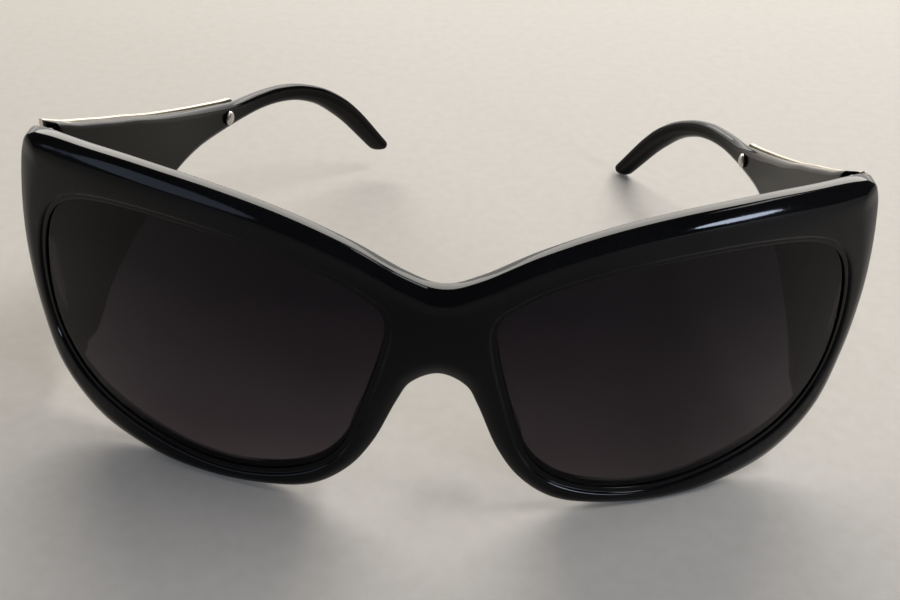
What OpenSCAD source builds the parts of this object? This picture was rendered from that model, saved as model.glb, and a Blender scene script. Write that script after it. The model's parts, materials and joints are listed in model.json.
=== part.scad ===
// Oversized butterfly sunglasses with wide temples and metal trim plates, standing open on a table.
// The front faces -Y, the temples run towards +Y and the table is z = 0. The wearer's left is +X.
// Every shape is drawn once, on the wearer's left, and mirrored to the right.

/* [Front] */
// Width across the front
front_w = 142; // [138:0.2:148]
// Height of the front
front_h = 58; // [55:1:62]
// Thickness of the front
front_t = 3.8; // [3.6:0.1:4.4]
// Radius of the front's curve, seen from above
front_r = 128; // [118:1:140]
// Gap between the two lens openings
bridge_w = 17.4; // [15:0.1:20]
// Width of the rim at its outer side
rim_side = 3.9; // [3.4:0.1:4.6]
// Width of the rim below the lens
rim_low = 3.7; // [3.5:0.1:5]
// Height of the brow above the lens
brow_h = 7.8; // [7:0.1:8.8]
// Width of the step round each lens
step_w = 0.9; // [0.5:0.1:1.2]
// Depth of the step round each lens
step_d = 0.5; // [0.3:0.1:0.7]
// How far the lugs reach back behind the front, to where the temples begin
lug_reach = 3.8; // [3.5:0.1:5]
// How far the lugs stop below the top of the front
lug_drop = 2.8; // [2:0.1:5]
// Height that a nose pad covers
pad_h = 15; // [12:0.5:17]
// Width of a nose pad
pad_w = 4; // [3.4:0.1:4.2]
// How far a nose pad stands behind the front
pad_d = 6; // [4:0.1:7]

/* [Lenses] */
// Thickness of a lens
lens_t = 2; // [1.8:0.1:2.1]
// Depth of the lens below the front face
lens_deep = 0.9; // [0.9:0.1:1]
// How far a lens reaches into its groove
groove_d = 0.8; // [0.5:0.1:1]

/* [Temples] */
// Length of a temple from its front face to the centre of its rounded tip
temple_len = 102.5; // [96:0.5:112]
// Thickness of a temple
temple_t = 3; // [2.8:0.1:3.6]
// Distance from the front's outer edge in to the middle of a temple
temple_in = 5.6; // [5:0.1:6]
// Height of a temple where it meets the front
root_h = 44.6; // [40:0.1:46]
// Height of the slim ear hook
hook_h = 3.9; // [3.8:0.1:5.6]
// How far a temple runs straight before it bends in
straight_len = 34.7; // [30:0.1:40]
// How far the tip bends in
tip_in = 21; // [14:0.1:22]
// Angle that the wearer's left temple is swung in from fully open, as it lies
left_swing = 0; // [0:0.1:12]
// Angle that the wearer's right temple is swung in from fully open, as it lies
right_swing = 14.5; // [0:0.1:20]
// Angle that the wearer's right temple is bent up
right_lift = 3; // [0:0.1:4]
// Thickness of the wire core in a temple
core_t = 1.1; // [1:0.1:1.3]
// Height of the wire core in a temple
core_h = 1.9; // [1.6:0.1:2.1]

/* [Trim plates] */
// Thickness of a trim plate
plate_t = 0.9; // [0.7:0.1:1.2]
// Gap between a trim plate and its temple
plate_gap = 0.3; // [0.2:0.05:0.4]
// How far a trim plate stands above its temple's upper edge
plate_rise = 0.1; // [0:0.05:0.3]
// Strip of temple left bare below a trim plate
plate_low = 0.7; // [0.4:0.1:1.2]
// Diameter of the plate screw's shank
plate_screw_d = 1.4; // [1.2:0.1:1.6]
// Diameter of the plate screw's head
plate_head_d = 3; // [2.6:0.1:3.4]
// Height of the plate screw's head
plate_head_h = 0.8; // [0.6:0.1:1]

/* [Hinges] */
// Height of one knuckle
knuckle_h = 1.5; // [1.3:0.1:1.6]
// Diameter of the knuckles
knuckle_d = 3.2; // [3:0.1:3.4]
// Diameter of the hinge screw
hinge_screw_d = 1.4; // [1.2:0.1:1.5]
// Diameter of the hinge screw's head
hinge_head_d = 2.6; // [2.2:0.1:3]
// Height of the lowest knuckle above the middle of the temple
hinge_up = 3; // [1:0.1:5]
// Thickness of the hinge leaves
leaf_t = 0.9; // [0.8:0.1:1]
// Length of the leaf on a temple
leaf_len = 8; // [7:0.5:9]
// Depth of the front leaf's tongue in the front
tongue_len = 4.6; // [4:0.1:4.8]
// Diameter of the hinge rivets
rivet_d = 1.2; // [1:0.1:1.4]
// Diameter of the hinge rivets' heads
rivet_head_d = 2.2; // [1.8:0.1:2.4]

/* [Clearances] */
// Radial play of the hinge screw and the rivets in their bores
bore_fit = 0.05; // [0.02:0.01:0.08]
// Play of a piece that is held in a slot, groove or pocket
slot_fit = 0.05; // [0.03:0.01:0.08]
// Gap between two knuckles
knuckle_gap = 0.06; // [0.04:0.01:0.1]
// Gap between a temple's front face and the front
joint_gap = 0.3; // [0.2:0.05:0.5]

/* [Hidden] */
$fn = 48;
over = 1;
curve_steps = 5;
cap_steps = 8;

// Outline of half the front, as shares of half its width and of its height, from the middle of the
// top over the brow, down the outer side, along the bottom and up the nose arch
front_shares = [
    [0, 0.766], [0.080, 0.797], [0.200, 0.874], [0.344, 0.938], [0.500, 0.978], [0.676, 0.998],
    [0.817, 1], [0.908, 0.998], [0.946, 0.984], [0.966, 0.948], [0.980, 0.888], [0.996, 0.741],
    [1, 0.586], [0.986, 0.402], [0.945, 0.211], [0.846, 0.074], [0.703, 0.014], [0.565, 0],
    [0.423, 0.012], [0.296, 0.046], [0.206, 0.128], [0.143, 0.244], [0.092, 0.394],
    [0.060, 0.463], [0, 0.497],
];
// Outline of a lens opening, as shares of its width and height, from its nose side over the top
lens_shares = [
    [0, 0.720], [0.065, 0.830], [0.211, 0.917], [0.435, 0.979], [0.679, 1], [0.864, 0.967],
    [0.962, 0.850], [1, 0.616], [0.975, 0.362], [0.872, 0.169], [0.679, 0.047], [0.461, 0],
    [0.254, 0.050], [0.125, 0.176], [0.053, 0.414],
];
// Stations of a temple seen from the side: share of its length, height of its middle as a share of
// the front's height, and width as a share of the way from the hook's height to the root's height
temple_shares = [
    [-0.040, 0.580, 1], [0, 0.591, 1], [0.073, 0.597, 0.756], [0.151, 0.592, 0.581],
    [0.229, 0.586, 0.418], [0.307, 0.573, 0.275], [0.385, 0.551, 0.175], [0.463, 0.524, 0.111],
    [0.551, 0.487, 0.049], [0.620, 0.463, 0.013], [0.698, 0.446, 0], [0.766, 0.424, 0],
    [0.824, 0.388, 0], [0.883, 0.321, 0], [0.941, 0.204, 0],
];
plate_stations = 9;
core_stations = [9, 14];
screw_share = 0.27;

half_w = front_w / 2;
lens_box = [half_w - rim_side - bridge_w / 2, front_h - brow_h - rim_low];
hook_r = hook_h / 2;
temple_x = half_w - temple_in;
face_in = temple_x - temple_t / 2;
joint_y = curve_y(temple_x, front_t) + lug_reach;
temple_y = joint_y + joint_gap;
tip_y = temple_y + temple_len;
overall_d = tip_y + hook_r;
root_z = temple_shares[1][1] * front_h;
root_low = root_z - root_h / 2;
bend_power_share = 2.95;
bend_y = temple_y + straight_len;

knuckle_r = knuckle_d / 2;
knuckles = 5;
knuckle_step = knuckle_h + knuckle_gap;
hinge_h = knuckles * knuckle_h + (knuckles - 1) * knuckle_gap;
hinge_low = root_z + hinge_up;
barrel_gap = 0.5;
hinge_x = face_in - knuckle_r - barrel_gap;
hinge_y = joint_y + joint_gap + knuckle_r + barrel_gap - slot_fit;
web_share = 0.3;
web_x = hinge_x + web_share * knuckle_r;
web_w = leaf_t + slot_fit;
tongue_y = joint_y - tongue_len;
boss_wall = 1;
boss_x = web_x - boss_wall;
boss_h = hinge_h + 2 * boss_wall;
lug_in_share = 0.45;
boss_reach = 3.2;
front_pin_d = 1;
pin_reach = 1.6;
head_h = 0.4;
plate_start = 0.6;
pad_lean = 23;
pad_at_shares = [0.16, 0.297];
slot_w = 0.4;
slot_deep = 0.3;
rivet_at_shares = [0.42, 0.8];
pin_at_shares = [0.2, 0.8];

// A point on the smooth curve through four points, between the middle two
function spline_point(a, b, c, d, t) =
    (2 * b + (c - a) * t + (2 * a - 5 * b + 4 * c - d) * t * t + (3 * b - a - 3 * c + d) * t * t * t) / 2;

function closed_curve(points, n) = [
    for (i = [0:n - 1], k = [0:curve_steps - 1])
        spline_point(points[(i + n - 1) % n], points[i], points[(i + 1) % n], points[(i + 2) % n],
            k / curve_steps)
];

// An open curve from one station to a later one, through both
function open_curve(points, first, last) = [
    for (i = [first:last - 1], k = [0:curve_steps - (i < last - 1 ? 1 : 0)])
        spline_point(points[max(i - 1, 0)], points[i], points[i + 1],
            points[min(i + 2, len(points) - 1)], k / curve_steps)
];

// A closed outline that runs clockwise, moved outwards by a distance
function grown(points, by) = [
    for (i = [0:len(points) - 1])
        let (
            n = len(points),
            t = points[(i + 1) % n] - points[(i + n - 1) % n]
        )
        points[i] + by * [-t[1], t[0]] / norm(t)
];

function reversed(points) = [for (i = [len(points) - 1:-1:0]) points[i]];

half_front = [for (s = front_shares) [s[0] * half_w, s[1] * front_h]];
front_points = concat(half_front, [for (i = [len(half_front) - 2:-1:1]) [-half_front[i][0], half_front[i][1]]]);
front_outline = closed_curve(front_points, len(front_points));

lens_points = [for (s = lens_shares) [bridge_w / 2 + s[0] * lens_box[0], rim_low + s[1] * lens_box[1]]];
lens_opening = closed_curve(lens_points, len(lens_points));

temple_stations = concat(
    [for (s = temple_shares)
        [temple_y + s[0] * temple_len, s[1] * front_h, hook_h + s[2] * (root_h - hook_h)]],
    [[tip_y, hook_r, hook_h]]
);

// How far the front's curve lies behind its foremost point, at a distance from the middle and a depth
function curve_y(x, depth) = front_r - sqrt(pow(front_r - depth, 2) - x * x);

// A temple's middle line seen from above: straight at first, then bending in ever more
function bend(y) = max(0, (y - bend_y) / (tip_y - bend_y));
function temple_mid(y) = temple_x - tip_in * pow(bend(y), bend_power_share);
function temple_slope(y) =
    -tip_in * bend_power_share * pow(bend(y), bend_power_share - 1) / (tip_y - bend_y);

function plan_line(offset, from, to) = [
    for (i = [0:4 * curve_steps])
        let (
            y = from + (to - from) * i / (4 * curve_steps),
            m = temple_slope(y)
        )
        [temple_mid(y), y] + offset * [1, -m] / norm([1, m])
];

// The strip of plan between two offsets from the temple's middle line
function plan_band(inner, outer, from, to) =
    concat(plan_line(outer, from, to), reversed(plan_line(inner, from, to)));

// A side outline along the stations, each with a height, with a round end where asked
function side_line(line, up, share) = [
    for (i = [0:len(line) - 1])
        let (
            a = line[max(i - 1, 0)],
            b = line[min(i + 1, len(line) - 1)],
            t = [b[0] - a[0], b[1] - a[1]]
        )
        [line[i][0], line[i][1]] + (share * line[i][2] / 2 + up) * [-t[1], t[0]] / norm(t)
];
function round_end(top, low) =
    let (
        mid = (top + low) / 2,
        r = (top - low) / 2
    )
    [for (k = [1:cap_steps - 1])
        let (a = 180 * k / cap_steps)
        mid + r * cos(a) + [r[1], -r[0]] * sin(a)];
function side_band(line, up, down, round) =
    let (
        top = side_line(line, up, 1),
        low = side_line(line, down, -1),
        last = len(line) - 1
    )
    concat(top, round ? round_end(top[last], low[last]) : [], reversed(low));

temple_line = open_curve(temple_stations, 0, len(temple_stations) - 1);
plate_line = open_curve(temple_stations, 0, plate_stations);
core_line = [for (p = open_curve(temple_stations, core_stations[0], core_stations[1])) [p[0], p[1], core_h]];

screw_at = spline_point(
    temple_stations[plate_stations - 2], temple_stations[plate_stations - 1],
    temple_stations[plate_stations], temple_stations[plate_stations + 1], screw_share);

// The part stands with its origin under the middle of its box
module standing() {
    translate([0, -overall_d / 2, 0])
        children();
}

module mirrored(right) {
    mirror([right ? 1 : 0, 0, 0])
        children();
}

// A piece of a temple, swung in about its hinge as far as that temple lies
module swung(right) {
    mirrored(right)
        translate([hinge_x, hinge_y, 0])
            rotate([0, 0, right ? right_swing : left_swing])
                translate([-hinge_x, -hinge_y, 0])
                    children();
}

// A piece of a temple, bent up about its upper front corner as far as that temple is
module lifted(right) {
    translate([0, temple_y, root_z + root_h / 2])
        rotate([right ? right_lift : 0, 0, 0])
            translate([0, -temple_y, -root_z - root_h / 2])
                children();
}

module through(points, from_y, to_y) {
    translate([0, to_y, 0])
        rotate([90, 0, 0])
            linear_extrude(height = to_y - from_y)
                polygon(points);
}

// All of space behind the front's curve at a depth
module behind(depth) {
    translate([0, front_r, -over])
        cylinder(r = front_r - depth, h = front_h + 2 * over, $fn = 256);
}

module shell(outer, inner) {
    difference() {
        behind(outer);
        translate([0, front_r, -2 * over])
            cylinder(r = front_r - inner, h = front_h + 4 * over, $fn = 256);
    }
}

module x_bore(x, y, z, d, length) {
    translate([x, y, z])
        rotate([0, 90, 0])
            cylinder(d = d, h = length);
}

// The piece of the front behind the rim that carries the hinge and meets the temple
module lug() {
    difference() {
        intersection() {
            through(front_outline, 0, joint_y);
            behind(front_t * lug_in_share);
            translate([face_in, 0, root_low])
                cube([half_w, joint_y + over, front_h - lug_drop - root_low]);
        }
        through(grown(lens_opening, groove_d + 2 * slot_fit), -over, joint_y + over);
    }
    intersection() {
        behind(front_t + boss_wall / 2);
        translate([boss_x, 0, hinge_low - boss_wall])
            cube([temple_x + boss_reach - boss_x, joint_y, boss_h]);
    }
}

module tongue(fit) {
    translate([web_x - fit, tongue_y - fit, hinge_low - fit])
        cube([web_w + 2 * fit, joint_y - tongue_y + 2 * fit, hinge_h + 2 * fit]);
}

module front_pins(fit) {
    for (s = pin_at_shares)
        x_bore(boss_x - fit, joint_y - tongue_len / 2, hinge_low + s * hinge_h,
            front_pin_d + 2 * fit, web_x + web_w + pin_reach - boss_x + 2 * fit);
}

module front_side() {
    difference() {
        lug();
        tongue(slot_fit);
        front_pins(bore_fit);
    }
}

module lens_cuts() {
    through(lens_opening, -over, joint_y);
    intersection() {
        shell(lens_deep - slot_fit, lens_deep + lens_t + slot_fit);
        through(grown(lens_opening, groove_d + slot_fit), -over, joint_y);
    }
    intersection() {
        through(grown(lens_opening, step_w), -over, joint_y);
        shell(-over, step_d);
    }
}

module front_frame() {
    color("#141416")
        standing() {
            difference() {
                intersection() {
                    shell(0, front_t);
                    through(front_outline, -over, joint_y);
                }
                for (right = [false, true])
                    mirrored(right)
                        lens_cuts();
            }
            for (right = [false, true])
                mirrored(right)
                    front_side();
        }
}

module lens(right) {
    color("#3a3438", 0.85)
        standing()
            mirrored(right)
                intersection() {
                    shell(lens_deep, lens_deep + lens_t);
                    through(grown(lens_opening, groove_d), -over, joint_y);
                }
}

module nose_pad(right) {
    at = [pad_at_shares[0] * half_w, pad_at_shares[1] * front_h];
    color("#1b1b1d")
        standing()
            mirrored(right)
                intersection() {
                    behind(front_t + slot_fit);
                    translate([at[0], curve_y(at[0], front_t), at[1]])
                        rotate([0, -pad_lean, 0])
                            scale([pad_w, 2 * pad_d, pad_h] / pad_w)
                                sphere(d = pad_w);
                }
}

module barrels(first) {
    for (i = [first:2:knuckles - 1])
        translate([hinge_x, hinge_y, hinge_low + i * knuckle_step])
            cylinder(r = knuckle_r, h = knuckle_h);
}

module barrel_bore() {
    translate([hinge_x, hinge_y, hinge_low - over])
        cylinder(d = hinge_screw_d + 2 * bore_fit, h = hinge_h + 2 * over);
}

module front_hinge(right) {
    color("#8d8a86")
        standing()
            mirrored(right)
                difference() {
                    union() {
                        tongue(0);
                        barrels(0);
                        for (i = [0:2:knuckles - 1])
                            translate([web_x, joint_y - slot_fit, hinge_low + i * knuckle_step])
                                cube([web_w, hinge_y - joint_y + slot_fit, knuckle_h]);
                    }
                    barrel_bore();
                    front_pins(bore_fit);
                }
}

module front_hinge_pins(right) {
    color("#a7a39c")
        standing()
            mirrored(right) {
                front_pins(0);
                for (s = pin_at_shares)
                    x_bore(boss_x - head_h, joint_y - tongue_len / 2, hinge_low + s * hinge_h,
                        2 * front_pin_d, head_h);
            }
}

module hinge_screw(right) {
    color("#b9b5ad")
        standing()
            mirrored(right)
                translate([hinge_x, hinge_y, hinge_low])
                    difference() {
                        union() {
                            cylinder(d = hinge_screw_d, h = hinge_h + slot_deep);
                            translate([0, 0, hinge_h])
                                cylinder(d = hinge_head_d, h = 2 * head_h);
                        }
                        translate([-hinge_head_d, -slot_w / 2, hinge_h + 2 * head_h - slot_deep])
                            cube([2 * hinge_head_d, slot_w, over]);
                    }
}

// What lies between two offsets from a temple's middle line, within a side outline, cut off at its front
module temple_body(right, inner, outer, points, from_y) {
    intersection() {
        lifted(right)
            intersection() {
                translate([0, 0, -over])
                    linear_extrude(height = front_h + 2 * over)
                        polygon(plan_band(inner, outer, temple_stations[0][0] - over, overall_d + over));
                translate([temple_mid(tip_y) - temple_t, 0, 0])
                    rotate([90, 0, 90])
                        linear_extrude(height = tip_in + 3 * temple_t)
                            polygon(points);
            }
        translate([0, from_y, -over])
            cube([half_w, overall_d, front_h + 2 * over]);
    }
}

module hinge_rivets(fit) {
    for (s = rivet_at_shares)
        x_bore(face_in - leaf_t - fit, hinge_y + knuckle_r + s * leaf_len, hinge_low + hinge_h / 2,
            rivet_d + 2 * fit, leaf_t + temple_t + plate_gap + fit);
}

module at_plate_screw(right) {
    lifted(right)
        translate([temple_mid(screw_at[0]), screw_at[0], screw_at[1]])
            rotate([0, 0, -atan(temple_slope(screw_at[0]))])
                children();
}

module plate_screw_shank(right, fit) {
    at_plate_screw(right)
        x_bore(-temple_t / 2 - plate_head_h / 2, 0, 0, plate_screw_d + 2 * fit,
            plate_head_h / 2 + temple_t + plate_gap + plate_t / 2 + fit);
}

module core_body(right, fit) {
    temple_body(right, -core_t / 2 - fit, core_t / 2 + fit, side_band(core_line, fit, -fit, false), temple_y);
}

module temple(right) {
    color("#161617")
        standing()
            swung(right)
                difference() {
                    temple_body(right, -temple_t / 2, temple_t / 2,
                        side_band(temple_line, 0, 0, true), temple_y);
                    core_body(right, slot_fit);
                    hinge_rivets(bore_fit);
                    plate_screw_shank(right, bore_fit);
                }
}

module temple_core(right) {
    color("#9a958c")
        standing()
            swung(right)
                core_body(right, 0);
}

module temple_hinge(right) {
    color("#8d8a86")
        standing()
            swung(right)
                difference() {
                    union() {
                        barrels(1);
                        for (i = [1:2:knuckles - 1])
                            translate([web_x, hinge_y, hinge_low + i * knuckle_step])
                                cube([face_in - web_x, knuckle_r + barrel_gap, knuckle_h]);
                        translate([face_in - leaf_t, hinge_y + knuckle_r + barrel_gap - slot_fit, hinge_low])
                            cube([leaf_t, leaf_len, hinge_h]);
                    }
                    barrel_bore();
                    hinge_rivets(bore_fit);
                }
}

module temple_hinge_rivets(right) {
    color("#b9b5ad")
        standing()
            swung(right) {
                hinge_rivets(0);
                for (s = rivet_at_shares)
                    x_bore(face_in - leaf_t - head_h, hinge_y + knuckle_r + s * leaf_len,
                        hinge_low + hinge_h / 2, rivet_head_d, head_h);
            }
}

module temple_plate(right) {
    color("#d9cfbd")
        standing()
            swung(right)
                difference() {
                    temple_body(right, temple_t / 2 + plate_gap, temple_t / 2 + plate_gap + plate_t,
                        side_band(plate_line, plate_rise, plate_low, true), temple_y + plate_start);
                    plate_screw_shank(right, bore_fit);
                }
}

module plate_screw(right) {
    color("#d8d4ca")
        standing()
            swung(right) {
                plate_screw_shank(right, 0);
                at_plate_screw(right)
                    x_bore(-temple_t / 2 - slot_fit - plate_head_h, 0, 0, plate_head_d, plate_head_h);
            }
}

front_frame();
lens(false);  // lens_left
lens(true);  // lens_right
nose_pad(false);  // nose_pad_left
nose_pad(true);  // nose_pad_right
front_hinge(false);  // front_hinge_left
front_hinge(true);  // front_hinge_right
front_hinge_pins(false);  // front_hinge_pins_left
front_hinge_pins(true);  // front_hinge_pins_right
hinge_screw(false);  // hinge_screw_left
hinge_screw(true);  // hinge_screw_right
temple(false);  // temple_left
temple(true);  // temple_right
temple_core(false);  // temple_core_left
temple_core(true);  // temple_core_right
temple_hinge(false);  // temple_hinge_left
temple_hinge(true);  // temple_hinge_right
temple_hinge_rivets(false);  // temple_hinge_rivets_left
temple_hinge_rivets(true);  // temple_hinge_rivets_right
temple_plate(false);  // temple_plate_left
temple_plate(true);  // temple_plate_right
plate_screw(false);  // plate_screw_left
plate_screw(true);  // plate_screw_right
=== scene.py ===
import json
from math import atan2, cos, hypot, pi, radians, sin, sqrt, tan

import bmesh
import bpy
from mathutils import Matrix, Vector


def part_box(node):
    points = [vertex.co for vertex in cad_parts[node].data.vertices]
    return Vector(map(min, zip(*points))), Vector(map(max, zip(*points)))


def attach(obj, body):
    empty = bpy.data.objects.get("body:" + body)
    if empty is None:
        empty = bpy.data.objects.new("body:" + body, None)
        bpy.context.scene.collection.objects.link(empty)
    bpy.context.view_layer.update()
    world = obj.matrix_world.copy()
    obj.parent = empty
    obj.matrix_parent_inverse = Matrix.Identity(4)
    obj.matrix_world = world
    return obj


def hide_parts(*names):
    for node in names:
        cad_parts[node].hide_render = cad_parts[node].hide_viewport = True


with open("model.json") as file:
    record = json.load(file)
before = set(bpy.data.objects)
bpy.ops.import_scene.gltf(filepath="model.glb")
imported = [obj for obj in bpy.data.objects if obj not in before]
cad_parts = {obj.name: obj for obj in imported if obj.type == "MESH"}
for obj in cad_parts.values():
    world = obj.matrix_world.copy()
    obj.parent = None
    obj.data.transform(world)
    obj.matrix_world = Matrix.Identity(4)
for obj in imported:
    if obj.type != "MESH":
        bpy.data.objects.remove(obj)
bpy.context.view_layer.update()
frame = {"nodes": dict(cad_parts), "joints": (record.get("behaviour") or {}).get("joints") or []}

mm = 0.001
nodes = frame["nodes"]


def box(node):
    low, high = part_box(node)
    return low / mm, high / mm  # the shapes below are worked out in millimetres


# The camera, at the photograph's angle
camera = {
    "lens": 48.0, "sensor": 36.0, "azimuth": -0.16, "elevation": 33.72, "roll": 3.40,
    "target": (1.14, -45.475, 30.39), "distance": 204.4,
}


def makeCamera():
    az, el, roll = (radians(camera[k]) for k in ("azimuth", "elevation", "roll"))
    back = Vector((sin(az) * cos(el), -cos(az) * cos(el), sin(el)))
    right = Vector((cos(az), sin(az), 0))
    up = back.cross(right)
    side = cos(roll) * right + sin(roll) * up
    top = -sin(roll) * right + cos(roll) * up
    data = bpy.data.cameras.new("camera")
    data.lens, data.sensor_width = camera["lens"], camera["sensor"]
    data.clip_start, data.clip_end = 0.005, 20
    obj = bpy.data.objects.new("camera", data)
    bpy.context.scene.collection.objects.link(obj)
    place = Matrix((side, top, back)).transposed().to_4x4()
    place.translation = (Vector(camera["target"]) + back * camera["distance"]) * mm
    obj.matrix_world = place
    bpy.context.scene.camera = obj


makeCamera()
print("camera is set")


# Materials
def linear(hexColour):
    channels = [int(hexColour[i:i + 2], 16) / 255 for i in (0, 2, 4)]
    return [c / 12.92 if c <= 0.04045 else ((c + 0.055) / 1.055) ** 2.4 for c in channels] + [1]


def addNode(tree, kind, settings=None, **links):
    node = tree.nodes.new("ShaderNode" + kind)
    for key, value in (settings or {}).items():
        if key in node.inputs and not hasattr(type(node), key):
            node.inputs[key].default_value = value
        else:
            setattr(node, key, value)
    for key, source in links.items():
        tree.links.new(source, node.inputs[key.replace("_", " ")])
    return node


def newMaterial(name):
    material = bpy.data.materials.new(name)
    material.use_nodes = True
    tree = material.node_tree
    tree.nodes.clear()
    return material, tree


def finishMaterial(tree, surface):
    out = addNode(tree, "OutputMaterial")
    tree.links.new(surface, out.inputs["Surface"])


def ramp(tree, factor, stops):
    node = addNode(tree, "ValToRGB", Fac=factor)
    band = node.color_ramp
    while len(band.elements) < len(stops):
        band.elements.new(0.5)
    for element, (place, colour) in zip(band.elements, stops):
        element.position = place
        element.color = linear(colour)
    return node


def perMetre(sizeInMm):
    return 1 / (sizeInMm * mm)


# Injection-moulded nylon, tumbled and lacquered black: a deep gloss with a faint orange peel and
# fine handling marks, so that bright lines stay sharp but broad reflections waver a little
lacqueredNylon = {
    "body": "060607", "worn": "0d0d0f", "bodyAt": 0.15, "wornAt": 0.45, "ior": 1.5, "level": 0.15,
    "roughness": (0.04, 0.1), "smoothAt": 0.1, "roughAt": 0.4, "markSize": 0.35, "hazeSize": 14,
    "peelSize": 2.4, "peelDepth": 0.012, "peelStrength": 0.35,
}


def makeLacqueredNylon():
    v = lacqueredNylon
    material, tree = newMaterial("lacqueredNylon")
    place = addNode(tree, "TexCoord").outputs["Object"]
    marks = addNode(tree, "TexNoise", {"Scale": perMetre(v["markSize"]), "Detail": 4.0, "Roughness": 0.6},
        Vector=place)
    haze = addNode(tree, "TexNoise", {"Scale": perMetre(v["hazeSize"]), "Detail": 2.0}, Vector=place)
    mixed = addNode(tree, "Math", {"operation": "MULTIPLY"})
    tree.links.new(marks.outputs["Fac"], mixed.inputs[0])
    tree.links.new(haze.outputs["Fac"], mixed.inputs[1])
    rough = addNode(tree, "MapRange", {"From Min": v["smoothAt"], "From Max": v["roughAt"],
        "To Min": v["roughness"][0], "To Max": v["roughness"][1]}, Value=mixed.outputs[0])
    tone = ramp(tree, mixed.outputs[0], [(v["bodyAt"], v["body"]), (v["wornAt"], v["worn"])])
    peel = addNode(tree, "TexNoise", {"Scale": perMetre(v["peelSize"]), "Detail": 1.0}, Vector=place)
    bump = addNode(tree, "Bump", {"Strength": v["peelStrength"], "Distance": v["peelDepth"] * mm},
        Height=peel.outputs["Fac"])
    skin = addNode(tree, "BsdfPrincipled", {"IOR": v["ior"], "Specular IOR Level": v["level"]},
        Base_Color=tone.outputs[0], Roughness=rough.outputs[0], Normal=bump.outputs[0])
    finishMaterial(tree, skin.outputs[0])
    return material


# The same nylon as moulded, on the temples' inner faces: a satin skin that lifts the black to a
# warm dark grey, with a fine even grain
satinNylon = {
    "body": "080705", "raised": "0e0d0a", "ior": 1.5, "level": 0.08, "roughness": 0.2,
    "grainSize": 0.28, "grainDepth": 0.004, "grainStrength": 0.4,
}


def makeSatinNylon():
    v = satinNylon
    material, tree = newMaterial("satinNylon")
    place = addNode(tree, "TexCoord").outputs["Object"]
    grain = addNode(tree, "TexNoise", {"Scale": perMetre(v["grainSize"]), "Detail": 3.0, "Roughness": 0.65},
        Vector=place)
    tone = ramp(tree, grain.outputs["Fac"], [(0.3, v["body"]), (0.7, v["raised"])])
    bump = addNode(tree, "Bump", {"Strength": v["grainStrength"], "Distance": v["grainDepth"] * mm},
        Height=grain.outputs["Fac"])
    skin = addNode(tree, "BsdfPrincipled",
        {"IOR": v["ior"], "Specular IOR Level": v["level"], "Roughness": v["roughness"]},
        Base_Color=tone.outputs[0], Normal=bump.outputs[0])
    finishMaterial(tree, skin.outputs[0])
    return material


# Solution-dyed lens plastic with a gradient tint, polished: purple-black on top, clearing to a warm
# grey near the lower rim, so that the temples and the floor show faintly through it
tintedLens = {
    "stops": [(0.0, "504a4e"), (0.25, "3b353a"), (0.55, "29242a"), (0.8, "18141b"), (1.0, "100d12")],
    "ior": 1.22, "roughness": 0.012,  # the coat against reflections acts like a lower index
    "hazeSize": 16, "hazeShare": 0.06,
}


def makeTintedLens():
    v = tintedLens
    material, tree = newMaterial("tintedLens")
    low, high = box("lens_left")
    place = addNode(tree, "TexCoord").outputs["Object"]
    height = addNode(tree, "SeparateXYZ", Vector=place).outputs["Z"]
    share = addNode(tree, "MapRange", {"From Min": low.z * mm, "From Max": high.z * mm}, Value=height)
    haze = addNode(tree, "TexNoise", {"Scale": perMetre(v["hazeSize"]), "Detail": 1.0}, Vector=place)
    drift = addNode(tree, "Math", {"operation": "MULTIPLY_ADD"})
    tree.links.new(haze.outputs["Fac"], drift.inputs[0])
    drift.inputs[1].default_value = v["hazeShare"]
    tree.links.new(share.outputs[0], drift.inputs[2])
    tint = ramp(tree, drift.outputs[0], v["stops"])
    glass = addNode(tree, "BsdfPrincipled",
        {"IOR": v["ior"], "Roughness": v["roughness"], "Transmission Weight": 1.0},
        Base_Color=tint.outputs[0])
    finishMaterial(tree, glass.outputs[0])
    return material


# Anodised aluminium sheet in pale champagne: a satin face rolled lengthwise, edges polished bright
anodisedPlate = {
    "light": "e9e0d0", "dark": "d2c7b4", "roughness": (0.24, 0.38),
    "grainSize": 0.12, "grainLength": 6.0, "grainDepth": 0.006, "grainStrength": 0.2,
}


def makeAnodisedPlate():
    v = anodisedPlate
    material, tree = newMaterial("anodisedPlate")
    place = addNode(tree, "TexCoord").outputs["Object"]
    across, along = perMetre(v["grainSize"]), perMetre(v["grainLength"])
    stretch = addNode(tree, "Mapping", {"Scale": (across, along, across)}, Vector=place)
    grain = addNode(tree, "TexNoise", {"Scale": 1.0, "Detail": 3.0}, Vector=stretch.outputs[0])
    tone = ramp(tree, grain.outputs["Fac"], [(0.3, v["dark"]), (0.7, v["light"])])
    rough = addNode(tree, "MapRange", {"To Min": v["roughness"][0], "To Max": v["roughness"][1]},
        Value=grain.outputs["Fac"])
    bump = addNode(tree, "Bump", {"Strength": v["grainStrength"], "Distance": v["grainDepth"] * mm},
        Height=grain.outputs["Fac"])
    metal = addNode(tree, "BsdfPrincipled", {"Metallic": 1.0},
        Base_Color=tone.outputs[0], Roughness=rough.outputs[0], Normal=bump.outputs[0])
    finishMaterial(tree, metal.outputs[0])
    return material


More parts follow.
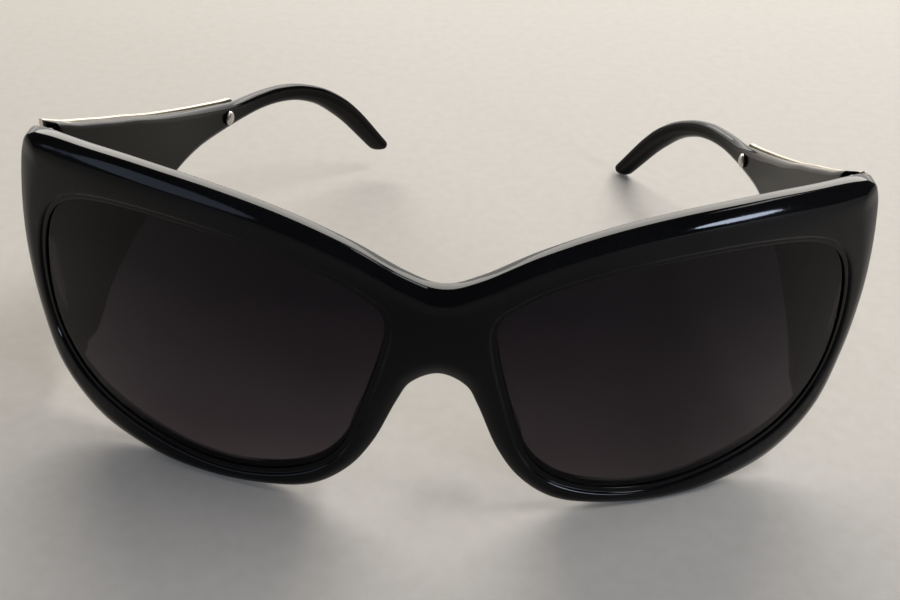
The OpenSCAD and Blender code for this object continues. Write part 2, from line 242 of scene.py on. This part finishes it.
# Turned and drawn metals: nickel silver hinges, steel screws and pins, the temples' wire. Fine lathe
# or draw marks that spread the highlight and vary the tone a little
turnedMetals = {
    "nickelSilver": {"light": "b3aea4", "dark": "8d887f", "roughness": (0.22, 0.38), "markSize": 0.4},
    "polishedSteel": {"light": "dcdad6", "dark": "bdbab4", "roughness": (0.08, 0.2), "markSize": 0.3},
    "satinSteel": {"light": "cfccc6", "dark": "aeaaa3", "roughness": (0.3, 0.42), "markSize": 0.3},
    "drawnWire": {"light": "a39e95", "dark": "7f7a72", "roughness": (0.3, 0.45), "markSize": 0.3},
}
markBump = {"depth": 0.005, "strength": 0.15}


def makeTurnedMetal(name):
    v = turnedMetals[name]
    material, tree = newMaterial(name)
    place = addNode(tree, "TexCoord").outputs["Object"]
    marks = addNode(tree, "TexNoise", {"Scale": perMetre(v["markSize"]), "Detail": 3.0}, Vector=place)
    tone = ramp(tree, marks.outputs["Fac"], [(0.3, v["dark"]), (0.7, v["light"])])
    rough = addNode(tree, "MapRange", {"To Min": v["roughness"][0], "To Max": v["roughness"][1]},
        Value=marks.outputs["Fac"])
    bump = addNode(tree, "Bump", {"Strength": markBump["strength"], "Distance": markBump["depth"] * mm},
        Height=marks.outputs["Fac"])
    metal = addNode(tree, "BsdfPrincipled", {"Metallic": 1.0},
        Base_Color=tone.outputs[0], Roughness=rough.outputs[0], Normal=bump.outputs[0])
    finishMaterial(tree, metal.outputs[0])
    return material


gloss = makeLacqueredNylon()
satin = makeSatinNylon()
lensTint = makeTintedLens()
champagne = makeAnodisedPlate()
nickelSilver, polishedSteel, satinSteel, drawnWire = (makeTurnedMetal(name) for name in turnedMetals)
print("materials are made")


# Shape tools that several pieces share
def splinePoint(a, b, c, d, t):
    return [(2 * q + (r - p) * t + (2 * p - 5 * q + 4 * r - s) * t * t + (3 * q - p - 3 * r + s) * t ** 3) / 2
            for p, q, r, s in zip(a, b, c, d)]


def closedCurve(points, steps):
    n = len(points)
    return [splinePoint(points[i - 1], points[i], points[(i + 1) % n], points[(i + 2) % n], k / steps)
            for i in range(n) for k in range(steps)]


def openCurve(points, first, last, steps):
    line = []
    for i in range(first, last):
        for k in range(steps + (i == last - 1)):
            line.append(splinePoint(points[max(i - 1, 0)], points[i], points[i + 1],
                                    points[min(i + 2, len(points) - 1)], k / steps))
    return line


def grown(loop, by):  # a clockwise loop moved outwards, by one distance or by one at each point
    n = len(loop)
    out = []
    for i, (x, z) in enumerate(loop):
        d = by[i] if isinstance(by, list) else by
        tx, tz = loop[(i + 1) % n][0] - loop[i - 1][0], loop[(i + 1) % n][1] - loop[i - 1][1]
        length = hypot(tx, tz) or 1
        out.append((x - d * tz / length, z + d * tx / length))
    return out


def meshObject(name, bm, materials, body, smooth=35):
    bmesh.ops.remove_doubles(bm, verts=bm.verts, dist=1e-5)
    bmesh.ops.recalc_face_normals(bm, faces=bm.faces)
    for v in bm.verts:
        v.co *= mm
    for f in bm.faces:
        f.smooth = True
    for e in bm.edges:
        if len(e.link_faces) == 2:
            e.smooth = e.calc_face_angle(0) < radians(smooth)
    data = bpy.data.meshes.new(name)
    bm.to_mesh(data)
    bm.free()
    for material in materials:
        data.materials.append(material)
    obj = bpy.data.objects.new(name, data)
    bpy.context.scene.collection.objects.link(obj)
    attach(obj, body)
    return obj


def loopVerts(bm, loop, depth):
    return [bm.verts.new((x, depth, z)) for x, z in loop]


def bridgeLoops(bm, a, b, slot=0):
    n = len(a)
    for i in range(n):
        face = bm.faces.new((a[i], a[(i + 1) % n], b[(i + 1) % n], b[i]))
        face.material_index = slot


def fillLoops(bm, loops):
    edges = []
    for loop in loops:
        for i in range(len(loop)):
            edges.append(bm.edges.get((loop[i - 1], loop[i])) or bm.edges.new((loop[i - 1], loop[i])))
    bmesh.ops.triangle_fill(bm, use_beauty=True, edges=edges)


def sliceAlongX(bm, step):
    xs = [v.co.x for v in bm.verts]
    low, high = min(xs), max(xs)
    x = (int(low / step) - 1) * step
    while x < high:
        if x > low:
            geometry = bm.verts[:] + bm.edges[:] + bm.faces[:]
            bmesh.ops.bisect_plane(bm, geom=geometry, dist=1e-5, plane_co=(x, 0, 0), plane_no=(1, 0, 0))
        x += step


# The front. Places along the outline and the opening are shares of its own width and height
front = {
    "radius": 128.0, "thickness": 3.8, "bridge": 17.4, "rimSide": 3.9, "rimLow": 3.7, "brow": 7.8,
    "stepWidth": 0.9, "stepDepth": 0.5, "crownShare": 0.65, "crownRoom": 0.68, "crownLeast": 1.2,
    "crownMost": 7.0, "crownBend": 0.8, "crownDepth": 1.2, "crownSlope": 0.26, "crownSmoothing": 20,
    "crownRings": 8, "edgeRound": 0.8, "edgeRings": 6, "backRound": 0.5, "backRings": 5,
    "widthShare": 0.99946, "heightShare": 0.99965,  # the curve bulges past its stations
    "slice": 1.5, "steps": 8,
    "outline": [
        (0, 0.766), (0.080, 0.797), (0.200, 0.874), (0.344, 0.938), (0.500, 0.978), (0.676, 0.998),
        (0.817, 1), (0.908, 0.998), (0.946, 0.984), (0.966, 0.948), (0.980, 0.888), (0.996, 0.741),
        (1, 0.586), (0.986, 0.402), (0.945, 0.211), (0.846, 0.074), (0.703, 0.014), (0.565, 0),
        (0.423, 0.012), (0.296, 0.046), (0.206, 0.128), (0.143, 0.244), (0.092, 0.394),
        (0.060, 0.463), (0, 0.497)],
    "opening": [
        (0, 0.720), (0.065, 0.830), (0.211, 0.917), (0.435, 0.979), (0.679, 1), (0.864, 0.967),
        (0.962, 0.850), (1, 0.616), (0.975, 0.362), (0.872, 0.169), (0.679, 0.047), (0.461, 0),
        (0.254, 0.050), (0.125, 0.176), (0.053, 0.414)],
}
# The lens, whose groove is cut into the front
lens = {"deep": 0.9, "thickness": 2.0, "groove": 0.8, "fit": 0.05, "dome": 0.7, "slice": 1.5}
frontLow, frontHigh = box("front_frame")
halfWidth, frontHeight = frontHigh.x * front["widthShare"], frontHigh.z * front["heightShare"]
foremost = frontLow.y


def bentY(x, depth):
    r = front["radius"]
    return foremost + r - sqrt((r - depth) ** 2 - x * x)


def bend(bm):
    for v in bm.verts:
        v.co.y = bentY(v.co.x, v.co.y)


def openingLoop():
    width = halfWidth - front["rimSide"] - front["bridge"] / 2
    height = frontHeight - front["brow"] - front["rimLow"]
    return closedCurve([(front["bridge"] / 2 + s * width, front["rimLow"] + t * height)
                        for s, t in front["opening"]], front["steps"])


def outlineLoop():
    half = [(s * halfWidth, t * frontHeight) for s, t in front["outline"]]
    return closedCurve(half + [(-x, z) for x, z in half[-2:0:-1]], front["steps"])


def mirroredLoop(loop):
    return [(-x, z) for x, z in loop[::-1]]


def smoothed(values, times):
    n = len(values)
    for _ in range(times):
        values = [(values[i - 1] + values[i] + values[(i + 1) % n]) / 3 for i in range(n)]
    return values


def crownReach(outline, openings):  # how far in from the outline the crown's fall begins
    n = len(outline)
    reach, rooms = [], []
    for i, (x, z) in enumerate(outline):
        near = min(hypot(x - a, z - b) for hole in openings for a, b in hole) - front["stepWidth"]
        (ax, az), (bx, bz) = outline[i - 4], outline[(i + 4) % n]
        turn = atan2(x - ax, z - az) - atan2(bx - x, bz - z)
        turn = abs((turn + pi) % (2 * pi) - pi)
        bendRadius = (hypot(x - ax, z - az) + hypot(bx - x, bz - z)) / 2 / max(turn, 1e-3)
        rooms.append(front["crownRoom"] * near)
        reach.append(max(front["crownLeast"],
                         min(front["crownMost"], front["crownShare"] * near, front["crownBend"] * bendRadius)))
    low = [min(reach[(i + k) % n] for k in range(-5, 6)) for i in range(n)]
    even = smoothed(low, front["crownSmoothing"])
    return [min(r, room) for r, room in zip(even, rooms)]  # never as far as the opening's step


def edgeRings(bm, outline, reach):  # from the flat of the face out over the crown and round the edge
    edge = front["edgeRound"]
    depths = [min(front["crownDepth"], front["crownSlope"] * r) for r in reach]
    # the crown's slope at its outer end, which the edge's arc carries on
    leans = [atan2(2 * depth, r - 0.6 * edge) for depth, r in zip(depths, reach)]
    starts = [edge * (1 - sin(lean)) for lean in leans]
    rings = []
    crownRings, arcRings = front["crownRings"], front["edgeRings"]
    for k in range(crownRings + 1):
        s = k / crownRings
        insets = [-(r + (start - r) * s) for r, start in zip(reach, starts)]
        rings.append([bm.verts.new((x, depth * s * s, z)) for (x, z), depth in zip(grown(outline, insets), depths)])
    for k in range(1, arcRings + 1):
        turns = [lean + (pi / 2 - lean) * k / arcRings for lean in leans]
        falls = [depth + edge * (cos(lean) - cos(turn)) for depth, lean, turn in zip(depths, leans, turns)]
        ring = grown(outline, [-edge * (1 - sin(turn)) for turn in turns])
        rings.append([bm.verts.new((x, fall, z)) for (x, z), fall in zip(ring, falls)])
    return rings


def makeFront():
    t, stepWidth, stepDepth = front["thickness"], front["stepWidth"], front["stepDepth"]
    opening, outline = openingLoop(), outlineLoop()
    openings = [opening, mirroredLoop(opening)]
    bm = bmesh.new()
    rings = edgeRings(bm, outline, crownReach(outline, openings))
    back, backRings = front["backRound"], front["backRings"]
    for k in range(backRings + 1):
        a = pi / 2 * k / backRings
        rings.append(loopVerts(bm, grown(outline, -back * (1 - cos(a))), t - back + back * sin(a)))
    for a, b in zip(rings, rings[1:]):
        bridgeLoops(bm, a, b)
    deep, thick, fit, groove = (lens[key] for key in ("deep", "thickness", "fit", "groove"))
    profile = [  # how far out from the opening and how deep, from the face to the back
        (stepWidth + 0.6, 0), (stepWidth + 0.42, 0.03), (stepWidth + 0.26, 0.09), (stepWidth + 0.13, 0.19),
        (stepWidth + 0.04, 0.31), (stepWidth, 0.42), (stepWidth - 0.08, 0.48),
        (stepWidth - 0.26, stepDepth - 0.01), (stepWidth - 0.4, stepDepth),
        (0.16, stepDepth + 0.02), (0.05, stepDepth + 0.07), (0, stepDepth + 0.18), (0, deep - fit),
        (groove + fit, deep - fit), (groove + fit, deep + thick + fit), (0, deep + thick + fit),
        (0, t - 0.4), (0.06, t - 0.2), (0.2, t - 0.06), (0.4, t)]
    faceLoops, backLoops = [rings[0]], [rings[-1]]
    for hole in openings:
        walls = [loopVerts(bm, grown(hole, out), depth) for out, depth in profile]
        for a, b in zip(walls, walls[1:]):
            bridgeLoops(bm, a, b)
        faceLoops.append(walls[0])
        backLoops.append(walls[-1])
    fillLoops(bm, faceLoops)
    fillLoops(bm, backLoops)
    sliceAlongX(bm, front["slice"])
    bend(bm)
    obj = meshObject("front", bm, [gloss], "front")
    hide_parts("front_frame")
    return obj


makeFront()
print("front is made")


# The lugs, which reach back from the front to the temples, and the bosses that hold the hinges
lug = {
    "drop": 2.4, "topRound": 1.3, "reach": 3.8, "root": 2.0, "edge": 0.5, "inset": 0.06, "least": 0.4,
    "rows": 60, "bossWall": 1.0, "bossReach": 3.2, "bossDepth": 4.3, "bossIn": 0.4, "bossRound": 0.5,
}
temple = {
    "length": 102.5, "thickness": 3.0, "inset": 5.6, "root": 44.6, "hook": 3.9, "straight": 34.7, "tipIn": 21.0,
    "power": 2.95, "swing": 14.5, "lift": 3.0, "steps": 24, "gap": 0.3, "frontEdge": 0.3,
    "taper": 16.0, "tipShare": 0.74, "tipReach": 1.3, "tipLean": 0.5,
    "rootEdges": (0.4, 0.7, 0.9, 0.5), "hookEdge": 1.35, "innerFace": 15,
    "stations": [
        (-0.040, 0.580, 1), (0, 0.591, 1), (0.073, 0.597, 0.760), (0.151, 0.594, 0.574),
        (0.229, 0.586, 0.420), (0.307, 0.572, 0.280), (0.385, 0.551, 0.178), (0.463, 0.523, 0.106),
        (0.551, 0.487, 0.052), (0.620, 0.463, 0.015), (0.698, 0.446, 0), (0.766, 0.424, 0),
        (0.824, 0.388, 0), (0.883, 0.321, 0), (0.941, 0.204, 0)],
}
templeX = halfWidth - temple["inset"]
templeIn = templeX - temple["thickness"] / 2
jointY = bentY(templeX, front["thickness"]) + lug["reach"]  # the face that the temple's own front face meets
rootZ = temple["stations"][1][1] * frontHeight
hingeLow, hingeHigh = box("front_hinge_left")


def crossings(loop, z):
    return [x0 + (x1 - x0) * (z - z0) / (z1 - z0)
            for (x0, z0), (x1, z1) in zip(loop, loop[1:] + loop[:1]) if (z0 - z) * (z1 - z) < 0]


def lugOutline():
    outline, opening = outlineLoop(), grown(openingLoop(), front["stepWidth"])
    low, top, count = rootZ - temple["root"] / 2, frontHeight - lug["drop"], lug["rows"]
    rows = []
    for i in range(count + 1):
        z = low + (top - low) * i / count
        right = max(crossings(outline, z)) - lug["inset"]
        left = max([templeIn] + crossings(opening, z))
        into = max(0, z - top + lug["topRound"])
        side = lug["topRound"] - sqrt(lug["topRound"] ** 2 - into ** 2)
        if right - left - 2 * side > lug["least"]:
            rows.append((left + side, right - side, z))
    return [(l, z) for l, r, z in rows] + [(r, z) for l, r, z in rows[::-1]]


def bossOutline():
    wall = lug["bossWall"]
    left, right = box("front_hinge_pins_left")[0].x + lug["bossIn"], templeX + lug["bossReach"]
    low, high = hingeLow.z - wall, hingeHigh.z + wall
    r = lug["bossRound"]
    return [(cx + r * cos(a), cz + r * sin(a))
            for k, (cx, cz) in enumerate(((left + r, low + r), (left + r, high - r),
                                          (right - r, high - r), (right - r, low + r)))
            for a in (pi * 1.5 - pi / 2 * (k + j / 4) for j in range(5))]


def makeBlock(name, loop, depth, left):  # a block from a depth in the front's curve back to the joint
    sign = 1 if left else -1
    e = lug["edge"]
    bm = bmesh.new()
    rings = [[bm.verts.new((x * sign, bentY(x, depth), z)) for x, z in loop]]
    for k in range(5):
        a = pi / 2 * k / 4
        ring = grown(loop, -e * (1 - cos(a)))
        rings.append([bm.verts.new((x * sign, jointY - e + e * sin(a), z)) for x, z in ring])
    for a, b in zip(rings, rings[1:]):
        bridgeLoops(bm, a, b)
    fillLoops(bm, [rings[0]])
    fillLoops(bm, [rings[-1]])
    obj = meshObject(name + ("_left" if left else "_right"), bm, [gloss], "front")


for left in (True, False):
    makeBlock("lug", lugOutline(), lug["root"], left)
    makeBlock("hingeBoss", bossOutline(), lug["bossDepth"], left)
print("lugs and hinge bosses are made")


# The lenses
def makeLens(left):
    hole = openingLoop()
    if not left:
        hole = mirroredLoop(hole)
    edge = grown(hole, lens["groove"])
    bm = bmesh.new()
    faceRing = loopVerts(bm, edge, lens["deep"])
    backRing = loopVerts(bm, edge, lens["deep"] + lens["thickness"])
    bridgeLoops(bm, faceRing, backRing)
    fillLoops(bm, [faceRing])
    fillLoops(bm, [backRing])
    sliceAlongX(bm, lens["slice"])
    step = lens["slice"]
    low, high = min(z for x, z in edge), max(z for x, z in edge)
    z = low + step
    while z < high:
        bmesh.ops.bisect_plane(bm, geom=bm.verts[:] + bm.edges[:] + bm.faces[:], dist=1e-5,
                               plane_co=(0, 0, z), plane_no=(0, 0, 1))
        z += step
    midX, midZ = sum(x for x, z in edge) / len(edge), (low + high) / 2
    halfX = (max(x for x, z in edge) - min(x for x, z in edge)) / 2
    for v in bm.verts:  # a shallow crown, none at the edge
        r = ((v.co.x - midX) / halfX) ** 2 + ((v.co.z - midZ) / (high - low) * 2) ** 2
        v.co.y -= lens["dome"] * max(0, 1 - r)
    bend(bm)
    name = "left" if left else "right"
    obj = meshObject("lensShape_" + name, bm, [lensTint], "front")
    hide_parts("lens_" + name)


for left in (True, False):
    makeLens(left)
print("lenses are made")


# The temples and their plates
plate = {
    "thickness": 0.9, "gap": 0.3, "rise": 0.1, "low": 0.7, "stations": 9, "start": 0.6,
    "edge": 0.22, "frontEdge": 0.15,
}
band = {"rings": 130, "frontRings": 4, "endRings": 8, "endAngle": 87, "endThinning": 0.4}
templeY = jointY + temple["gap"]
tipY = templeY + temple["length"]
widening = temple["root"] - temple["hook"]
stations = [(templeY + s * temple["length"], t * frontHeight, temple["hook"] + w * widening)
            for s, t, w in temple["stations"]] + [(tipY, temple["hook"] / 2, temple["hook"])]
hinge = Vector(frame["joints"][0]["pos_m"]) / mm
pivot = Vector((0, templeY, rootZ + temple["root"] / 2))  # the corner that a temple is bent up about


def middleX(y):
    span = temple["length"] - temple["straight"]
    share = max(0, (y - templeY - temple["straight"]) / span)
    slope = -temple["tipIn"] * temple["power"] * share ** (temple["power"] - 1) / span
    return templeX - temple["tipIn"] * share ** temple["power"], slope


def sideEdges(line, up, down):  # the upper and lower edge of a band along the stations
    top, low = [], []
    for i, (y, z, width) in enumerate(line):
        a, b = line[max(i - 1, 0)], line[min(i + 1, len(line) - 1)]
        across = Vector((a[1] - b[1], b[0] - a[0])).normalized()
        middle = Vector((y, z))
        top.append(middle + across * (width / 2 + up))
        low.append(middle - across * (width / 2 - down))
    return top, low


def cutFrom(line, startY, lift):  # drops what lies before the front face, which leans with the lift
    ahead = [p.x - startY - (p.y - pivot.z) * tan(lift) for p in line]
    i = next(k for k, a in enumerate(ahead) if a > 0)
    share = ahead[i - 1] / (ahead[i - 1] - ahead[i])
    return [line[i - 1].lerp(line[i], share)] + [p for p, a in zip(line[i:], ahead[i:]) if a > 0.3]


def along(line, shares):  # points at shares of a line's length
    steps = [0]
    for a, b in zip(line, line[1:]):
        steps.append(steps[-1] + (b - a).length)
    points, i = [], 0
    for share in shares:
        want = share * steps[-1]
        while i < len(steps) - 2 and steps[i + 1] < want:
            i += 1
        points.append(line[i].lerp(line[i + 1], (want - steps[i]) / (steps[i + 1] - steps[i])))
    return points, steps[-1]


def roundedSection(width, height, radii, steps=5):
    points = []
    for corner, (sx, sz) in enumerate(((1, 1), (-1, 1), (-1, -1), (1, -1))):
        r = min(radii[corner], width * 0.47, height * 0.47)
        lead = min(0.15, (min(width, height) / 2 - r) * 0.6)  # keeps the flats flat beside the rounds
        arc = [(r * cos(a), r * sin(a)) for a in (pi / 2 * (corner + k / steps) for k in range(steps + 1))]
        dx, dz = -sin(pi / 2 * corner), cos(pi / 2 * corner)
        before = (arc[0][0] - dx * lead, arc[0][1] - dz * lead)
        after = (arc[-1][0] - dz * lead, arc[-1][1] + dx * lead)
        arc = [before] + arc + [after]
        points += [(sx * (width / 2 - r) + x, sz * (height / 2 - r) + z) for x, z in arc]
    return points


def bandRings(line, up, down, offset, thickness, radiiAt, startY, lift, frontEdge, taper=0):
    top, low = (cutFrom(edge, startY, lift) for edge in sideEdges(line, up, down))
    count, ahead = band["rings"], band["frontRings"]
    length = along(top, [0])[1]
    shares = [frontEdge / length * (1 - cos(pi / 2 * k / ahead)) for k in range(ahead)]
    shares += [shares[-1] + (1 - shares[-1]) * k / count for k in range(1, count + 1)]
    insets = [frontEdge * (1 - sin(pi / 2 * k / ahead)) for k in range(ahead)] + [0] * count
    sections = []
    for a, b, inset in zip(along(top, shares)[0], along(low, shares)[0], insets):
        unit = (a - b).normalized()
        sections.append(((a + b) / 2, unit, (a - b).length - 2 * inset, thickness - 2 * inset))
    for i, share in enumerate(shares):  # the tip narrows a little
        left = (1 - share) * length
        if left < taper:
            middle, unit, height, thick = sections[i]
            slim = 1 - (1 - temple["tipShare"]) * (1 - left / taper)
            drop = height * (1 - slim) / 2 * temple["tipLean"]
            sections[i] = (middle - unit * drop, unit, height * slim, thick * slim)
    middle, unit, height, thick = sections[-1]
    onward = Vector((unit.y, -unit.x))
    reach = temple["tipReach"] if taper else 1
    for k in range(1, band["endRings"] + 1):  # the round end
        a = radians(band["endAngle"]) * k / band["endRings"]
        sections.append((middle + onward * height / 2 * reach * sin(a), unit,
                         height * cos(a), thick * cos(a) ** band["endThinning"]))
    rings = []
    for middle, unit, height, thick in sections:
        ring = []
        for out, rise in roundedSection(thick, height, radiiAt(height)):
            place = middle + unit * rise
            x, slope = middleX(place.x)
            ring.append(Vector((x + (offset + out) * sqrt(1 + slope * slope), place.x, place.y)))
        rings.append(ring)
    return rings


def loft(bm, rings, flat=None):
    made = [[bm.verts.new(p) for p in ring] for ring in rings]
    n = len(made[0])
    for a, b in zip(made, made[1:]):
        for i in range(n):
            face = bm.faces.new((a[i], a[(i + 1) % n], b[(i + 1) % n], b[i]))
            face.material_index = 1 if i == flat else 0
    bm.faces.new(made[0])
    bm.faces.new(made[-1][::-1])


def layTemple(bm, left):  # as it lies: the right one is bent up and swung in
    if not left:
        up = Matrix.Translation(pivot) @ Matrix.Rotation(radians(temple["lift"]), 4, "X") @ Matrix.Translation(-pivot)
        pin = Matrix.Translation((hinge.x, hinge.y, 0))
        turn = pin @ Matrix.Rotation(radians(temple["swing"]), 4, "Z") @ pin.inverted()
        bmesh.ops.transform(bm, matrix=Matrix.Scale(-1, 4, (1, 0, 0)) @ turn @ up, verts=bm.verts)


def templeEdges(height):
    share = min(1, max(0, (22 - height) / 14))
    return [r + (temple["hookEdge"] - r) * share for r in temple["rootEdges"]]


def makeTemple(left):
    name = "left" if left else "right"
    line = openCurve(stations, 0, len(stations) - 1, temple["steps"])
    lift = 0 if left else radians(temple["lift"])
    bm = bmesh.new()
    rings = bandRings(line, 0, 0, 0, temple["thickness"], templeEdges, templeY, lift,
                      temple["frontEdge"], temple["taper"])
    loft(bm, rings, temple["innerFace"])  # the flat inner face has the satin skin
    layTemple(bm, left)
    obj = meshObject("templeShape_" + name, bm, [gloss, satin], "temple_" + name)
    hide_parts("temple_" + name)


def makePlate(left):
    name = "left" if left else "right"
    line = openCurve(stations, 0, plate["stations"], temple["steps"])
    offset = temple["thickness"] / 2 + plate["gap"] + plate["thickness"] / 2
    lift = 0 if left else radians(temple["lift"])
    bm = bmesh.new()
    rings = bandRings(line, plate["rise"], plate["low"], offset, plate["thickness"],
                      lambda height: [plate["edge"]] * 4, templeY + plate["start"], lift, plate["frontEdge"])
    loft(bm, rings)
    layTemple(bm, left)
    obj = meshObject("plateShape_" + name, bm, [champagne], "temple_" + name)
    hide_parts("temple_plate_" + name)


# The plate screw's domed head, on the temple's inner face
plateScrew = {
    "head": 1.5, "rise": 0.8, "rim": 0.15, "rimBevel": 0.03, "shank": 0.6, "shankBevel": 0.1,
    "shankEnd": 0.7, "domeRings": 10, "around": 40,
}


def makePlateScrew(left):
    v = plateScrew
    name = "left" if left else "right"
    low, high = box("plate_screw_left")
    faceX, midY, midZ = low.x + v["rise"], (low.y + high.y) / 2, (low.z + high.z) / 2
    profile = [(high.x, v["shank"] * v["shankEnd"]), (high.x - v["shankBevel"], v["shank"]), (faceX, v["shank"]),
               (faceX, v["head"] - v["rimBevel"]), (faceX - v["rimBevel"], v["head"]), (faceX - v["rim"], v["head"])]
    for k in range(1, v["domeRings"] + 1):
        a = pi / 2 * k / v["domeRings"]
        profile.append((faceX - v["rim"] - (v["rise"] - v["rim"]) * sin(a), v["head"] * max(cos(a), 0.02)))
    bm = bmesh.new()
    turns = [2 * pi * i / v["around"] for i in range(v["around"])]
    loft(bm, [[(x, midY + r * cos(a), midZ + r * sin(a)) for a in turns] for x, r in profile])
    layTemple(bm, left)
    obj = meshObject("plateScrewShape_" + name, bm, [satinSteel], "temple_" + name, 40)
    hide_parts("plate_screw_" + name)


for left in (True, False):
    makeTemple(left)
    makePlate(left)
    makePlateScrew(left)
print("temples and plates are made")


# What keeps its own shape from the frame
kept = {
    "nose_pad": satin, "front_hinge": nickelSilver, "front_hinge_pins": polishedSteel,
    "hinge_screw": polishedSteel, "temple_core": drawnWire, "temple_hinge": nickelSilver,
    "temple_hinge_rivets": polishedSteel,
}
replaced = {"lens": lensTint, "temple": gloss, "temple_plate": champagne, "plate_screw": polishedSteel}


def dressNode(name, material):
    data = nodes[name].data
    data.materials.clear()
    data.materials.append(material)


for start, material in {**kept, **replaced}.items():
    for side in ("left", "right"):
        dressNode(start + "_" + side, material)
dressNode("front_frame", gloss)
print("carried-over pieces have their materials")


# Floor, world and lamps
studio = {
    "floor": ("d1ccc4", "d6d1ca"), "world": "f4f5f7", "worldStrength": 0.12, "backdrop": "d6d1ca",
    "floorSize": 6.0, "floorDrop": 0.00005, "floorRoughness": 0.85, "fibreSize": 3.0, "lampsAimAt": (0, 0, 0.02),
    "lamps": {
        "back": {"shape": "RECTANGLE", "place": (0.0, 1.0, 0.66), "size": (1.5, 0.42),
            "power": 14.5, "colour": "fffaf2"},
        "wide": {"shape": "RECTANGLE", "place": (0.0, 1.3, 0.3), "size": (3.2, 0.5),
            "power": 12.0, "colour": "fffcf6"},
        "top": {"shape": "RECTANGLE", "place": (0.45, 0.0, 0.75), "size": (0.5, 0.16),
            "power": 2.2, "colour": "ffffff"},
        "right": {"shape": "ELLIPSE", "place": (0.73, -0.66, 0.17), "size": (0.34, 0.12),
            "power": 4.2, "colour": "dce8ff"},
        "left": {"shape": "ELLIPSE", "place": (-0.75, -0.7, 0.2), "size": (0.8, 0.3),
            "power": 1.2, "colour": "cfe0ff"},
    },
}


def makeStudio():
    v = studio
    material, tree = newMaterial("paperFloor")
    place = addNode(tree, "TexCoord").outputs["Object"]
    fibre = addNode(tree, "TexNoise", {"Scale": perMetre(v["fibreSize"]), "Detail": 3.0}, Vector=place)
    tone = ramp(tree, fibre.outputs["Fac"], [(0.3, v["floor"][0]), (0.7, v["floor"][1])])
    paper = addNode(tree, "BsdfPrincipled", {"Roughness": v["floorRoughness"]}, Base_Color=tone.outputs[0])
    finishMaterial(tree, paper.outputs[0])
    half = v["floorSize"] / 2
    bm = bmesh.new()
    corners = ((-1, -1), (1, -1), (1, 1), (-1, 1))
    bm.faces.new([bm.verts.new((x * half, y * half, -v["floorDrop"])) for x, y in corners])
    data = bpy.data.meshes.new("floor")
    bm.to_mesh(data)
    bm.free()
    data.materials.append(material)
    floor = bpy.data.objects.new("floor", data)
    bpy.context.scene.collection.objects.link(floor)
    world = bpy.data.worlds.new("studioWorld")
    world.use_nodes = True
    tree = world.node_tree
    tree.nodes.clear()
    sky = addNode(tree, "Background", {"Color": linear(v["world"]), "Strength": v["worldStrength"]})
    backdrop = addNode(tree, "Background", {"Color": linear(v["backdrop"]), "Strength": 1.0})
    seen = addNode(tree, "MixShader", Fac=addNode(tree, "LightPath").outputs["Is Camera Ray"])
    tree.links.new(sky.outputs[0], seen.inputs[1])
    tree.links.new(backdrop.outputs[0], seen.inputs[2])
    tree.links.new(seen.outputs[0], addNode(tree, "OutputWorld").inputs["Surface"])
    bpy.context.scene.world = world
    for name, lamp in v["lamps"].items():
        data = bpy.data.lights.new(name, "AREA")
        data.shape, data.energy = lamp["shape"], lamp["power"]
        data.size, data.size_y = lamp["size"]
        data.color = linear(lamp["colour"])[:3]
        obj = bpy.data.objects.new(name, data)
        obj.location = lamp["place"]
        obj.rotation_mode = "QUATERNION"
        obj.rotation_quaternion = (Vector(v["lampsAimAt"]) - obj.location).to_track_quat("-Z", "Y")
        bpy.context.scene.collection.objects.link(obj)


makeStudio()
bpy.context.scene.view_settings.view_transform = "Standard"
print("studio is set")

bpy.context.view_layer.update()
